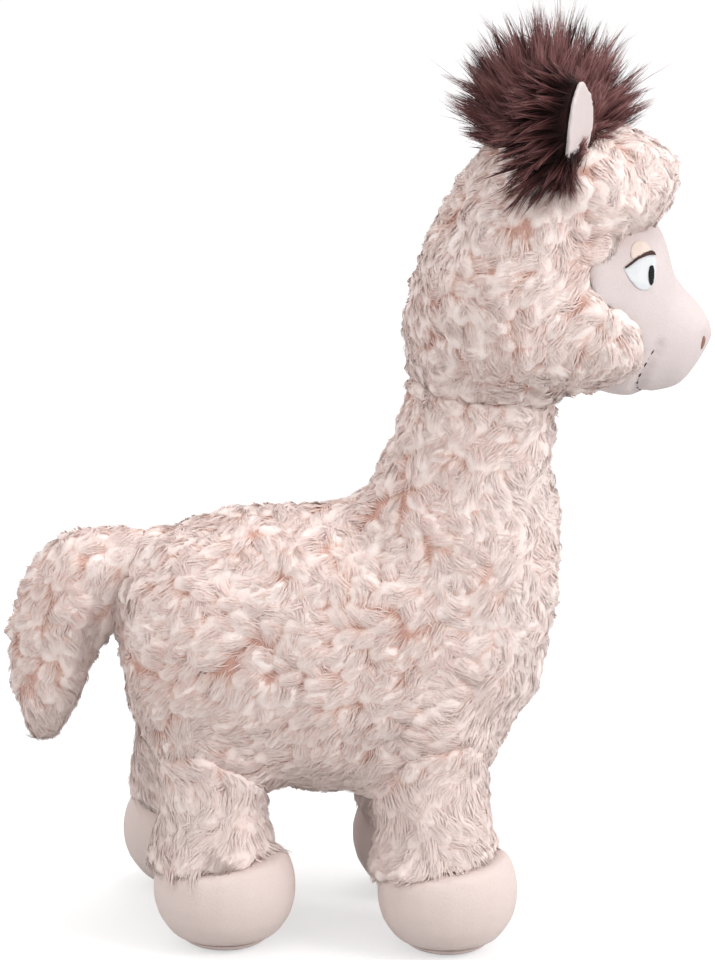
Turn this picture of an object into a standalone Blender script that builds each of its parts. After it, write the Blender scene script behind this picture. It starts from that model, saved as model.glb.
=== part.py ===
"""A standing plush alpaca.

Curly fleece covers the body, head, legs and tail. The face, feet and ear linings are short velour,
the topknot and the backs of the ears are long-pile fur, and the eyes, mouth and nostrils are embroidered.

Metres, +Z up, and the toy faces +X. The origin is on the ground, under the middle of its length and width.
Each stuffed piece is a closed solid with its fleece on, and neighbours that are sewn together keep SEAM_GAP.
"""

import math
import random

import bmesh
import bpy
from mathutils import Matrix, Vector
from mathutils.bvhtree import BVHTree

MM = 0.001

# Clearance between two pieces that are sewn or stitched together
SEAM_GAP = 0.3 * MM

# Fleece: how evenly the solid is divided, and the size and depth of its curls
CURL_SIZE = 20 * MM
CURL_DEPTH = 8 * MM
BODY_STEP = 10.5 * MM
HEAD_STEP = 9.5 * MM
LIMB_STEP = 9.8 * MM

# Body and neck, from the rump round the chest to the top of the neck.
# A rib is (upper or rear point x, z), (lower or front point x, z), half width, in millimetres.
RUMP_POLE = (-114, 138)
BODY_RIBS = [
    ((-110, 166), (-107, 108), 34),
    ((-97, 189), (-98, 82), 48),
    ((-65, 199), (-64, 67), 57),
    ((-30, 203), (-22, 64), 60),
    ((-6, 204), (25, 65), 61),
    ((1, 206), (60, 76), 59),
    ((5, 210), (80, 102), 55),
    ((8, 217), (93, 143), 51),
    ((12, 227), (96, 183), 46),
    ((16, 239), (93, 215), 41),
    ((19, 251), (92, 239), 38),
    ((22, 263), (90, 259), 36),
]
NECK_POLE = (56, 265)
BODY_SQUARENESS = 2.3

# Head hood, measured from the middle of the neck's top. Same kind of ribs: rear point, front point, half width.
NECK_SINK = 10 * MM  # how far the neck's top pole reaches into the head
HEAD_FOOT_POLE = (25, -6)
HEAD_RIBS = [
    ((-22, 0), (50, 0), 36),
    ((-36, 13), (63, 12), 51),
    ((-39, 30), (70, 30), 58),
    ((-35, 46), (68, 47), 60),
    ((-28, 66), (58, 66), 57),
    ((-25, 77), (61, 78), 55),
    ((-20, 87), (88, 84), 53),
    ((-8, 104), (91, 103), 48),
    ((6, 120), (83, 118), 37),
]
HEAD_TOP_POLE = (42, 129)
CHEEK_RADIUS = 20.5 * MM
CHEEK_FORWARD = 55 * MM
CHEEK_SIDE = 35 * MM
CHEEK_UP = 28 * MM

# Face and muzzle, from inside the hood to the nose, measured like the head. Same kind of ribs: upper, lower, half.
FACE_POLE = (34, 42)
FACE_RIBS = [
    ((40, 86), (40, 7), 43),
    ((64, 83), (52, 2), 43),
    ((78, 79), (62, -1), 39),
    ((84, 68), (72, -1), 32),
    ((87, 56), (80, 1), 27),
    ((92, 48), (89, 3), 23),
    ((99, 41), (95, 9), 18),
    ((104, 33), (100, 17), 12),
]
NOSE_POLE = (106, 26)

# Tail, measured from the root on the rump. Upper or rear point, lower or front point, half width.
TAIL_ROOT_RIB = 1
TAIL_POLE = (16, -20)
TAIL_RIBS = [
    ((2, 1), (4, -32), 15),
    ((-25, 6), (-14, -37), 21),
    ((-46, -1), (-17, -47), 24),
    ((-61, -20), (-19, -59), 25),
    ((-69, -46), (-24, -71), 24),
    ((-69, -75), (-30, -88), 22),
    ((-65, -96), (-41, -103), 16),
]
TAIL_TIP_POLE = (-54, -108)

# Legs and feet. Every foot is a stuffed boot; a leg is a fleece sleeve that runs up into the body.
LEG_LENGTH_RADIUS = 33 * MM
LEG_WIDTH_RADIUS = 31 * MM
LEG_TAPER = 7 * MM  # how much narrower the top is
LEG_TOP = 113 * MM
LEG_TOP_INSET = 13 * MM
FOOT_HEIGHT_RADIUS = 30.5 * MM
FOOT_CENTRE_HEIGHT = 28.5 * MM
FOOT_WIDTH_RADIUS = 29 * MM
FOOT_ROUNDNESS = 2.15
SOLE_HEIGHT = 4.5 * MM
ANKLE_HEIGHT = 42 * MM
# Name, side (-1 is the toy's right), foot's x, y, length radius and turn, leg's x, tilt of the ankle seam
LEGS = [
    ("front_right", -1, 41.5 * MM, -40.5 * MM, 33 * MM, 0, 35 * MM, 9),
    ("rear_right", -1, -61.5 * MM, -35 * MM, 33.5 * MM, 0, -68 * MM, 8),
    ("front_left", 1, 30 * MM, 36 * MM, 33 * MM, -10, 27 * MM, -4),
    ("rear_left", 1, -77 * MM, 39 * MM, 39 * MM, -25, -82 * MM, -12),
]

# Topknot of long-pile fur on the crown
TOPKNOT_BACK = 15 * MM  # behind the head's top pole
TOPKNOT_LENGTH_RADIUS = 29 * MM
TOPKNOT_WIDTH_RADIUS = 20 * MM
TOPKNOT_HEIGHT_RADIUS = 31 * MM
TOPKNOT_SINK = 4 * MM
TOPKNOT_SPIKE = 25 * MM

# Ears: a velour lining that faces forward and out, with long-pile fur behind it
EAR_LENGTH = 50.5 * MM
EAR_HALF_WIDTH = 13.5 * MM
EAR_FULLNESS = 1.25  # above 1 the leaf is widest above its middle
EAR_CUP = 3 * MM
EAR_LINING_THICKNESS = 2.2 * MM
EAR_FUR_THICKNESS = 7 * MM
EAR_SPIKE = 25 * MM
EAR_BASE = (36.5, 43, 99)  # from the middle of the neck's top: forward, sideways, up
EAR_LEAN_FORWARD = 6
EAR_LEAN_OUT = 9
EAR_TURN_OUT = 26

# Embroidered eye. Its outlines are in its own plane: across (positive towards the ear) and up, in millimetres.
EYE_AIM = (70.4, 35.3, 65)  # a point near the eye on the face, from the middle of the neck's top
EYE_TURN_OUT = 50
EYE_CENTRE = (-0.6, 1.5)
EYE_HALF_WIDTH = 8.8
EYE_HALF_HEIGHT = 12.8
EYE_LEAN = -1.1  # how far the middle of an arc lies towards the nose
LID_CENTRE = (-2.7, 3.9)
LID_HALF_WIDTH = 5.7
LID_HALF_HEIGHT = 5.8
LID_LEAN = 2.7
LASH_LINE = [(-9.6, 4.1), (-8.3, 4.8), (-5.9, 4.7), (-2.8, 4.2), (0.6, 3.2), (4.2, 1.3), (7.7, -0.5)]
LASH_HALF_WIDTHS = [0.8, 0.9, 0.7, 0.6, 0.5, 0.5, 0.4]
PUPIL_CENTRE = (-3.8, -4.6)
PUPIL_HALF_WIDTH = 1.8
PUPIL_HALF_HEIGHT = 4.4
PUPIL_LEAN = 0.3  # how far it leans towards the nose, for each mm of its height
THREAD_LAYER = 0.7 * MM
STITCH_DEPTH = 8 * MM  # how far the face may curve away inside one patch of embroidery
FACE_REACH = 60 * MM  # further than any point of the face is from its own middle

# Embroidered mouth and nostrils
MOUTH_CORNER = (80, 28.5)  # on the middle plane, seen from the side, from the middle of the neck's top
MOUTH_LEAN = -0.08  # how far forward the thread runs for each unit down, at the chin
MOUTH_BOW = 0.25  # how far it bows back between the corner and the chin
STITCH_COUNT = 15
STITCH_RADIUS = 0.6 * MM
STITCH_RINGS = 2  # steps along each stitch
STITCH_NECK = 0.45  # thickness between stitches, as a share of a stitch's own
NOSTRIL_AIM = (98.6, 11.5, 25)
NOSTRIL_TURN_OUT = 32
NOSTRIL_HALF_WIDTH = 1.5
NOSTRIL_HALF_HEIGHT = 3.5

# Looks: colour, roughness
FLEECE = ("fleece", (0.70, 0.55, 0.50), 0.95)
VELOUR = ("velour", (0.76, 0.61, 0.56), 0.85)
LONG_PILE = ("long_pile", (0.045, 0.016, 0.014), 0.7)
WHITE_THREAD = ("white_thread", (0.85, 0.85, 0.82), 0.5)
LID_THREAD = ("lid_thread", (0.78, 0.65, 0.53), 0.5)
BLACK_THREAD = ("black_thread", (0.01, 0.008, 0.008), 0.45)
BROWN_THREAD = ("brown_thread", (0.05, 0.025, 0.022), 0.5)
NOSE_THREAD = ("nose_thread", (0.42, 0.27, 0.22), 0.55)


def clear_scene():
    for obj in list(bpy.data.objects):
        bpy.data.objects.remove(obj)


def material(look):
    name, colour, roughness = look
    found = bpy.data.materials.get(name)
    if found:
        return found
    made = bpy.data.materials.new(name)
    made.use_nodes = True
    made.diffuse_color = (*colour, 1)
    shader = made.node_tree.nodes["Principled BSDF"]
    shader.inputs["Base Color"].default_value = (*colour, 1)
    shader.inputs["Roughness"].default_value = roughness
    shader.inputs["Metallic"].default_value = 0
    return made


def add_object(name, bm, look, location=(0, 0, 0)):
    """One piece of the toy, with its mesh in place around its own origin."""
    bmesh.ops.recalc_face_normals(bm, faces=bm.faces)
    mesh = bpy.data.meshes.new(name)
    bm.to_mesh(mesh)
    bm.free()
    obj = bpy.data.objects.new(name, mesh)
    obj.location = location
    bpy.context.scene.collection.objects.link(obj)
    mesh.materials.append(material(look))
    mesh.shade_smooth()
    return obj


def guide(obj, name):
    """A hidden copy of a piece, used only to cut or shape its neighbours."""
    copy = bpy.data.objects.new(name, obj.data)
    copy.location = obj.location
    copy.hide_render = True
    copy.display_type = "WIRE"
    bpy.context.scene.collection.objects.link(copy)
    return copy


def grow(obj, distance):
    """Moves the whole skin outwards by distance."""
    out = obj.modifiers.new("clearance", "DISPLACE")
    out.strength = distance
    out.mid_level = 0


def boolean(obj, other, operation="DIFFERENCE"):
    cut = obj.modifiers.new(operation.lower() + "_" + other.name, "BOOLEAN")
    cut.operation = operation
    cut.solver = "EXACT"
    cut.object = other


# Lofted forms

def between(a, b, c, d, t):
    """The smooth curve through b and c, which also looks at their neighbours a and d."""
    return 0.5 * ((2 * b) + (c - a) * t + (2 * a - 5 * b + 4 * c - d) * t**2 + (3 * b - a - 3 * c + d) * t**3)


def flat_rib(rib):
    (upper_x, upper_z), (lower_x, lower_z), half_width = rib
    return (upper_x, upper_z, lower_x, lower_z, half_width)


def fair_ribs(start, ribs, end, steps):
    """The ribs with steps - 1 more between each two, on smooth curves that end at the poles."""
    rows = [(*start, *start, 0)] + [flat_rib(rib) for rib in ribs] + [(*end, *end, 0)]
    last = len(rows) - 1
    faired = []
    for i in range(1, last):
        for k in range(steps if i < last - 1 else 1):
            near = [rows[max(0, min(last, j))] for j in (i - 1, i, i + 1, i + 2)]
            faired.append([between(*values, k / steps) for values in zip(*near)])
    return faired


def loft(start, ribs, end, around, steps=2, squareness=2.0):
    """A closed skin over ribs that stand across the toy's middle plane, with a pole at each end."""
    bm = bmesh.new()
    rings = []
    for upper_x, upper_z, lower_x, lower_z, half_width in fair_ribs(start, ribs, end, steps):
        centre = Vector((upper_x + lower_x, 0, upper_z + lower_z)) * MM / 2
        up = Vector((upper_x - lower_x, 0, upper_z - lower_z)) * MM / 2
        side = Vector((0, half_width * MM, 0))
        ring = []
        for i in range(around):
            c = math.cos(math.tau * i / around)
            s = math.sin(math.tau * i / around)
            reach = (abs(c) ** squareness + abs(s) ** squareness) ** (-1 / squareness)
            ring.append(bm.verts.new(centre + (up * c + side * s) * reach))
        rings.append(ring)
    poles = [bm.verts.new(Vector((x, 0, z)) * MM) for x, z in (start, end)]
    for i in range(around):
        j = (i + 1) % around
        bm.faces.new((poles[0], rings[0][j], rings[0][i]))
        bm.faces.new((poles[1], rings[-1][i], rings[-1][j]))
        for near, far in zip(rings, rings[1:]):
            bm.faces.new((near[i], near[j], far[j], far[i]))
    return bm


def add_ball(bm, centre, radius):
    place = Matrix.Translation(centre)
    bmesh.ops.create_uvsphere(bm, u_segments=20, v_segments=12, radius=radius, matrix=place)


def fleece_texture():
    made = bpy.data.textures.get("curls") or bpy.data.textures.new("curls", "VORONOI")
    made.noise_scale = CURL_SIZE
    made.noise_intensity = 1
    return made


def fleece(obj, step):
    """Even faces all over, stuffed smooth, then raised in the rounded curls of the fleece."""
    even = obj.modifiers.new("even_skin", "REMESH")
    even.mode = "VOXEL"
    even.voxel_size = step
    soft = obj.modifiers.new("stuffing", "SMOOTH")
    soft.factor = 0.5
    soft.iterations = 3
    curls = obj.modifiers.new("curls", "DISPLACE")
    curls.texture = fleece_texture()
    curls.texture_coords = "GLOBAL"
    curls.strength = -CURL_DEPTH
    curls.mid_level = 0.45
    rounded = obj.modifiers.new("rounded_curls", "SMOOTH")
    rounded.factor = 0.5
    rounded.iterations = 1
    obj.modifiers.new("flat_faces", "TRIANGULATE")


def fleece_guide(obj, step, name):
    """The fleece's surface one seam gap further out, which cuts the pieces that are sewn to it."""
    made = guide(obj, name)
    fleece(made, step)
    grow(made, SEAM_GAP)
    return made


def surface_of(obj):
    """The finished surface of a piece, for finding points on it."""
    evaluated = obj.evaluated_get(bpy.context.evaluated_depsgraph_get())
    mesh = evaluated.to_mesh()
    points = [obj.matrix_world @ v.co for v in mesh.vertices]
    tree = BVHTree.FromPolygons(points, [p.vertices[:] for p in mesh.polygons])
    evaluated.to_mesh_clear()
    return tree


# Body, head, face and tail

def neck_seat():
    """The middle of the neck's top, where the head is sewn on."""
    return Vector((NECK_POLE[0] * MM, 0, NECK_POLE[1] * MM - NECK_SINK))


def make_body():
    bm = loft(RUMP_POLE, BODY_RIBS, NECK_POLE, around=28, squareness=BODY_SQUARENESS)
    body = add_object("body", bm, FLEECE)
    fleece(body, BODY_STEP)
    return body, fleece_guide(body, BODY_STEP, "body_guide")


def make_head():
    bm = loft(HEAD_FOOT_POLE, HEAD_RIBS, HEAD_TOP_POLE, around=28)
    for side in (-1, 1):
        add_ball(bm, (CHEEK_FORWARD, side * CHEEK_SIDE, CHEEK_UP), CHEEK_RADIUS)
    head = add_object("head", bm, FLEECE, neck_seat())
    fleece(head, HEAD_STEP)
    return head, fleece_guide(head, HEAD_STEP, "head_guide")


def make_face(head_guide):
    bm = loft(FACE_POLE, FACE_RIBS, NOSE_POLE, around=22, squareness=2.15)
    face = add_object("face", bm, VELOUR, neck_seat())
    whole = guide(face, "face_guide")
    boolean(face, head_guide)
    return face, whole


def make_tail(body_guide):
    (root_x, root_z), _, _ = BODY_RIBS[TAIL_ROOT_RIB]
    bm = loft(TAIL_POLE, TAIL_RIBS, TAIL_TIP_POLE, around=20)
    tail = add_object("tail", bm, FLEECE, (root_x * MM, 0, root_z * MM))
    fleece(tail, LIMB_STEP)
    boolean(tail, body_guide)


# Legs, feet and soles

def boot(length_radius, turn):
    """A stuffed boot, fuller than an ellipsoid, with its centre at the origin and its toe turned about Z."""
    bm = bmesh.new()
    bmesh.ops.create_uvsphere(bm, u_segments=18, v_segments=11, radius=1)
    for vert in bm.verts:
        height = abs(vert.co.z)
        flat = math.hypot(vert.co.x, vert.co.y)
        reach = (height**FOOT_ROUNDNESS + flat**FOOT_ROUNDNESS) ** (-1 / FOOT_ROUNDNESS)
        vert.co *= reach
        vert.co.x *= length_radius
        vert.co.y *= FOOT_WIDTH_RADIUS
        vert.co.z *= FOOT_HEIGHT_RADIUS
    bmesh.ops.rotate(bm, matrix=Matrix.Rotation(math.radians(turn), 3, "Z"), verts=bm.verts)
    return bm


def trim(bm, point, normal):
    """Cuts away what lies beyond a plane, and closes the cut with a flat face."""
    geometry = bm.verts[:] + bm.edges[:] + bm.faces[:]
    cut = bmesh.ops.bisect_plane(bm, geom=geometry, plane_co=point, plane_no=normal, clear_outer=True)
    edges = [e for e in cut["geom_cut"] if isinstance(e, bmesh.types.BMEdge)]
    bmesh.ops.contextual_create(bm, geom=edges)


def ankle_plane(tilt):
    """The sloping seam between leg and foot, from the foot's centre: a point on it and its upward normal."""
    slope = math.radians(tilt)
    point = Vector((0, 0, ANKLE_HEIGHT - FOOT_CENTRE_HEIGHT))
    return point, Vector((-math.sin(slope), 0, math.cos(slope)))


def make_leg(name, side, foot_centre, leg_x, tilt, body_guide):
    point, normal = ankle_plane(tilt)
    bm = bmesh.new()
    levels = 7
    low = -FOOT_HEIGHT_RADIUS
    high = LEG_TOP - FOOT_CENTRE_HEIGHT
    rings = []
    for level in range(levels):
        t = level / (levels - 1)
        shift = Vector((leg_x - foot_centre.x, -side * LEG_TOP_INSET * t, low + (high - low) * t))
        narrower = LEG_TAPER * max(0, shift.z - point.z) / (high - point.z)
        ring = []
        for i in range(20):
            angle = math.tau * i / 20
            along = (LEG_LENGTH_RADIUS - narrower) * math.cos(angle)
            across = (LEG_WIDTH_RADIUS - narrower) * math.sin(angle)
            ring.append(bm.verts.new(shift + Vector((along, across, 0))))
        rings.append(ring)
    for near, far in zip(rings, rings[1:]):
        for i in range(20):
            bm.faces.new((near[i], near[i - 1], far[i - 1], far[i]))
    bm.faces.new(rings[0])
    bm.faces.new(rings[-1])
    leg = add_object("leg_" + name, bm, FLEECE, foot_centre)
    fleece(leg, LIMB_STEP)
    boolean(leg, body_guide)
    boolean(leg, ankle_block(name, foot_centre, point + normal * SEAM_GAP, normal))
    return leg


def ankle_block(name, centre, point, normal):
    """A hidden block whose top face is the ankle seam, which trims the leg's lower end."""
    bm = bmesh.new()
    size = 4 * FOOT_HEIGHT_RADIUS
    turn = normal.to_track_quat("Z", "X").to_matrix().to_4x4()
    place = Matrix.Translation(point) @ turn @ Matrix.Translation((0, 0, -size / 2))
    bmesh.ops.create_cube(bm, size=size, matrix=place)
    block = add_object("ankle_" + name, bm, FLEECE, centre)
    block.hide_render = True
    block.display_type = "WIRE"
    return block


def make_foot(name, centre, length_radius, turn, tilt):
    point, normal = ankle_plane(tilt)
    down = Vector((0, 0, -1))
    upper = boot(length_radius, turn)
    trim(upper, point, normal)
    trim(upper, Vector((0, 0, SOLE_HEIGHT + SEAM_GAP - FOOT_CENTRE_HEIGHT)), down)
    add_object("foot_" + name, upper, VELOUR, centre)
    sole = boot(length_radius, turn)
    trim(sole, Vector((0, 0, SOLE_HEIGHT - FOOT_CENTRE_HEIGHT)), -down)
    trim(sole, Vector((0, 0, -FOOT_CENTRE_HEIGHT)), down)
    add_object("sole_" + name, sole, VELOUR, centre)


# Long-pile fur

SIDE_SHORTENING = 0.6


def spiked(bm, faces, length, lean, seed):
    """Draws each face out into a pointed lock. lean is a push added to each face's own direction."""
    chance = random.Random(seed)
    for face in list(faces):
        centre = face.calc_center_median()
        direction = (face.normal + lean).normalized()
        reach = length * chance.uniform(0.55, 1.0) * (1 - SIDE_SHORTENING * abs(direction.y))
        poked = bmesh.ops.poke(bm, faces=[face])
        poked["verts"][0].co = centre + direction * reach


def make_topknot(head_guide):
    bm = bmesh.new()
    bmesh.ops.create_icosphere(bm, subdivisions=2, radius=1)
    radii = Vector((TOPKNOT_LENGTH_RADIUS, TOPKNOT_WIDTH_RADIUS, TOPKNOT_HEIGHT_RADIUS))
    bmesh.ops.scale(bm, vec=radii, verts=bm.verts)
    bm.normal_update()
    upper = [f for f in bm.faces if f.normal.z > -0.05]
    spiked(bm, upper, TOPKNOT_SPIKE, Vector((0, 0, 0.12)), seed=4)
    crown = Vector(((HEAD_TOP_POLE[0]) * MM - TOPKNOT_BACK, 0, HEAD_TOP_POLE[1] * MM - TOPKNOT_SINK))
    topknot = add_object("topknot", bm, LONG_PILE, neck_seat() + crown)
    boolean(topknot, head_guide)


def leaf(offset, thickness, rows=7, columns=4):
    """An ear's leaf shape, cupped forwards: x is through the ear, y across it and z up from its base."""
    bm = bmesh.new()
    sheets = []
    for depth in (offset, offset - thickness):
        sheet = []
        for row in range(rows + 1):
            t = 0.05 + 0.94 * row / rows
            half_width = EAR_HALF_WIDTH * math.sin(math.pi * t**EAR_FULLNESS) ** 0.6
            line = []
            for column in range(columns + 1):
                s = 2 * column / columns - 1
                cupped = depth + EAR_CUP * s * s * math.sin(math.pi * t)
                line.append(bm.verts.new((cupped, half_width * s, EAR_LENGTH * t)))
            sheet.append(line)
        sheets.append(sheet)
    front, back = sheets
    for row in range(rows):
        for column in range(columns):
            for sheet in sheets:
                a, b = sheet[row][column : column + 2]
                d, c = sheet[row + 1][column : column + 2]
                bm.faces.new((a, b, c, d))
    rim = [(row, 0) for row in range(rows)] + [(rows, column) for column in range(columns)]
    rim += [(row, columns) for row in range(rows, 0, -1)] + [(0, column) for column in range(columns, 0, -1)]
    for (r0, c0), (r1, c1) in zip(rim, rim[1:] + rim[:1]):
        bm.faces.new((front[r0][c0], front[r1][c1], back[r1][c1], back[r0][c0]))
    bmesh.ops.recalc_face_normals(bm, faces=bm.faces)
    bm.normal_update()
    return bm


def ear_matrix(side):
    turn = Matrix.Rotation(math.radians(side * EAR_TURN_OUT), 4, "Z")
    forward = Matrix.Rotation(math.radians(EAR_LEAN_FORWARD), 4, "Y")
    out = Matrix.Rotation(math.radians(-side * EAR_LEAN_OUT), 4, "X")
    return out @ forward @ turn


def make_ear(name, side, head_guide):
    ahead, aside, up = EAR_BASE
    base = neck_seat() + Vector((ahead, side * aside, up)) * MM
    lining = leaf(0, EAR_LINING_THICKNESS)
    fur = leaf(-EAR_LINING_THICKNESS - SEAM_GAP, EAR_FUR_THICKNESS)
    rear = [f for f in fur.faces if f.normal.x < -0.6]
    spiked(fur, rear, EAR_SPIKE, Vector((0, side * 0.3, -0.2)), seed=7)
    for part, bm, look in (("ear_lining_", lining, VELOUR), ("ear_fur_", fur, LONG_PILE)):
        bmesh.ops.transform(bm, matrix=ear_matrix(side), verts=bm.verts)
        ear = add_object(part + name, bm, look, base)
        boolean(ear, head_guide)


# Embroidery

def patch(name, look, outline, frame, face_guide, lift):
    """A layer of thread on the face: the outline, pressed on to the face's surface at a height of lift."""
    top = guide(face_guide, name + "_top")
    grow(top, lift + THREAD_LAYER)
    under = guide(face_guide, name + "_under")
    grow(under, lift)
    bm = bmesh.new()
    layers = []
    for out in (-STITCH_DEPTH, STITCH_DEPTH):
        layers.append([bm.verts.new(frame @ Vector((out, across * MM, up * MM))) for across, up in outline])
    for i in range(len(outline)):
        bm.faces.new((layers[0][i - 1], layers[0][i], layers[1][i], layers[1][i - 1]))
    bm.faces.new(layers[0])
    bm.faces.new(layers[1])
    made = add_object(name, bm, look)
    boolean(made, top, "INTERSECT")
    boolean(made, under)


def ellipse(centre, half_width, half_height, count=20):
    angles = [math.tau * i / count for i in range(count)]
    return [(centre[0] + half_width * math.cos(a), centre[1] + half_height * math.sin(a)) for a in angles]


def lash_height(across):
    """The height of the lash line at a place across the eye."""
    for (x0, z0), (x1, z1) in zip(LASH_LINE, LASH_LINE[1:]):
        if across <= x1:
            return z0 + (z1 - z0) * (across - x0) / (x1 - x0)
    return LASH_LINE[-1][1]


def eye_outline(part):
    """The eyelid above the lash line, or the white below it, each inside its own ellipse."""
    count = 10
    line = []
    arc = []
    if part == "lid":
        sign, centre, lean, half_width, half_height = 1, LID_CENTRE, LID_LEAN, LID_HALF_WIDTH, LID_HALF_HEIGHT
    else:
        sign, centre, lean = -1, EYE_CENTRE, EYE_LEAN
        half_width, half_height = EYE_HALF_WIDTH, EYE_HALF_HEIGHT
    for i in range(count + 1):
        rise = math.sin(math.pi * i / count)
        across = centre[0] + half_width * math.cos(math.pi * i / count) - lean * rise
        rim = centre[1] + sign * half_height * rise
        height = lash_height(across) + sign * 0.5 * SEAM_GAP / MM
        if sign * rim > sign * height:
            arc.append((across, rim))
            line.append((across, height))
    return arc + line[::-1]


def face_frame(aim, side, turn_out, surface):
    """Where a line from the side meets the face, with x straight out of it, y away from the nose and z up."""
    point = neck_seat() + Vector((aim[0], side * aim[1], aim[2])) * MM
    angle = math.radians(turn_out)
    outward = Vector((math.cos(angle), side * math.sin(angle), 0))
    hit = surface.ray_cast(point + outward * FACE_REACH, -outward)[0]
    away = Vector((-math.sin(angle), side * math.cos(angle), 0))
    turn = Matrix((outward, away, Vector((0, 0, 1)))).transposed().to_4x4()
    return Matrix.Translation(hit) @ turn


def make_eye(name, side, face_guide, surface):
    frame = face_frame(EYE_AIM, side, EYE_TURN_OUT, surface)
    raised = 2 * SEAM_GAP + THREAD_LAYER
    upper = [(a, z + w) for (a, z), w in zip(LASH_LINE, LASH_HALF_WIDTHS)]
    lower = [(a, z - w) for (a, z), w in zip(LASH_LINE, LASH_HALF_WIDTHS)]
    upright = ellipse(PUPIL_CENTRE, PUPIL_HALF_WIDTH, PUPIL_HALF_HEIGHT)
    pupil = [(a - PUPIL_LEAN * (z - PUPIL_CENTRE[1]), z) for a, z in upright]
    patch("eye_white_" + name, WHITE_THREAD, eye_outline("white"), frame, face_guide, SEAM_GAP)
    patch("eyelid_" + name, LID_THREAD, eye_outline("lid"), frame, face_guide, SEAM_GAP)
    patch("eye_pupil_" + name, BLACK_THREAD, pupil, frame, face_guide, raised)
    patch("eye_lash_" + name, BROWN_THREAD, upper + lower[::-1], frame, face_guide, raised)


def make_nostril(name, side, face_guide, surface):
    frame = face_frame(NOSTRIL_AIM, side, NOSTRIL_TURN_OUT, surface)
    outline = ellipse((0, 0), NOSTRIL_HALF_WIDTH, NOSTRIL_HALF_HEIGHT, count=14)
    patch("nostril_" + name, NOSE_THREAD, outline, frame, face_guide, SEAM_GAP)


def make_mouth(surface):
    """One thread from a corner of the mouth, under the chin, to the other: a row of stitches, thin between them."""
    corner = neck_seat() + Vector((MOUTH_CORNER[0], 0, MOUTH_CORNER[1])) * MM
    bm = bmesh.new()
    rings = []
    count = STITCH_COUNT * STITCH_RINGS
    for i in range(count + 1):
        angle = math.pi * (0.02 + 0.96 * i / count)
        forward = MOUTH_LEAN * math.sin(angle) - MOUTH_BOW * abs(math.sin(2 * angle))
        outward = Vector((forward, math.cos(angle), -math.sin(angle)))
        hit, normal, _, _ = surface.ray_cast(corner + outward * FACE_REACH, -outward)
        across = normal.cross(Vector((0, -math.sin(angle), -math.cos(angle)))).normalized()
        swell = abs(math.sin(math.pi * i / STITCH_RINGS))
        radius = STITCH_RADIUS * (STITCH_NECK + (1 - STITCH_NECK) * swell)
        centre = hit + normal * (STITCH_RADIUS + SEAM_GAP)
        ring = []
        for k in range(6):
            turn = math.tau * k / 6
            ring.append(bm.verts.new(centre + (normal * math.cos(turn) + across * math.sin(turn)) * radius))
        rings.append(ring)
    for near, far in zip(rings, rings[1:]):
        for k in range(6):
            bm.faces.new((near[k - 1], near[k], far[k], far[k - 1]))
    bm.faces.new(rings[0])
    bm.faces.new(rings[-1])
    add_object("mouth_stitching", bm, BROWN_THREAD)


def main():
    clear_scene()
    body, body_guide = make_body()
    head, head_guide = make_head()
    face, face_guide = make_face(head_guide)
    boolean(body, head_guide)
    boolean(face, body_guide)
    make_tail(body_guide)
    for name, side, foot_x, foot_y, length_radius, turn, leg_x, tilt in LEGS:
        centre = Vector((foot_x, foot_y, FOOT_CENTRE_HEIGHT))
        make_leg(name, side, centre, leg_x, tilt, body_guide)
        make_foot(name, centre, length_radius, turn, tilt)
    make_topknot(head_guide)
    bpy.context.view_layer.update()
    surface = surface_of(face_guide)
    for name, side in (("right", -1), ("left", 1)):
        make_ear(name, side, head_guide)
        make_eye(name, side, face_guide, surface)
        make_nostril(name, side, face_guide, surface)
    make_mouth(surface)


main()
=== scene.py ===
"""A standing plush alpaca: curly fleece, velour face and feet, a long-pile topknot and embroidered eyes."""

import math

import bpy
import numpy as np
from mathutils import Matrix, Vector
from mathutils.bvhtree import BVHTree
from mathutils.kdtree import KDTree


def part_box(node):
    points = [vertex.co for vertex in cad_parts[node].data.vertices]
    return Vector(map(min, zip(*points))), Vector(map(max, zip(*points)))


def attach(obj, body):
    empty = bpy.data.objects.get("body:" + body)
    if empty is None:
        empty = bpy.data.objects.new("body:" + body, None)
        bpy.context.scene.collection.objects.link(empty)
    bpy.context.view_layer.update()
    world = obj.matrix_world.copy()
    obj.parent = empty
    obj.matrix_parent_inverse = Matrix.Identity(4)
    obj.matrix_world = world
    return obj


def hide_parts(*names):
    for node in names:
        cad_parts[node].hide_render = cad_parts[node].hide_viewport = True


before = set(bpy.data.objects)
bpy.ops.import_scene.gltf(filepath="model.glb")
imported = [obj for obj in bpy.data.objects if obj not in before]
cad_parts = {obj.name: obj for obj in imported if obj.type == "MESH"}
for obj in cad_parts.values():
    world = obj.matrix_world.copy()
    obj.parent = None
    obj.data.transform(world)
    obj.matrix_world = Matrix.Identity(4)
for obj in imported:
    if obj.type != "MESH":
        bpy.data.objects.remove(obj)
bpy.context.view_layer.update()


# Backing of the fleece: a knitted cloth, sewn into body, hood, tail and four sleeves and stuffed.
# It is the base that the pile grows from. Each is an even copy of its solid, drawn in by the pile's height,
# except where it is sewn to a neighbour.

PILE_HEIGHT = 0.0038
SEAM_WIDTH = 0.0015  # this near to a neighbour the cloth is sewn to it
SEAM_SLOPE = 0.008  # and over this width it rises to its full depth
LEGS = ["front_right", "rear_right", "front_left", "rear_left"]
FLEECE_NODES = ["body", "head", "tail"] + ["leg_" + leg for leg in LEGS]
SMOOTH_NODES = ["face"] + ["foot_" + leg for leg in LEGS]


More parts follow.
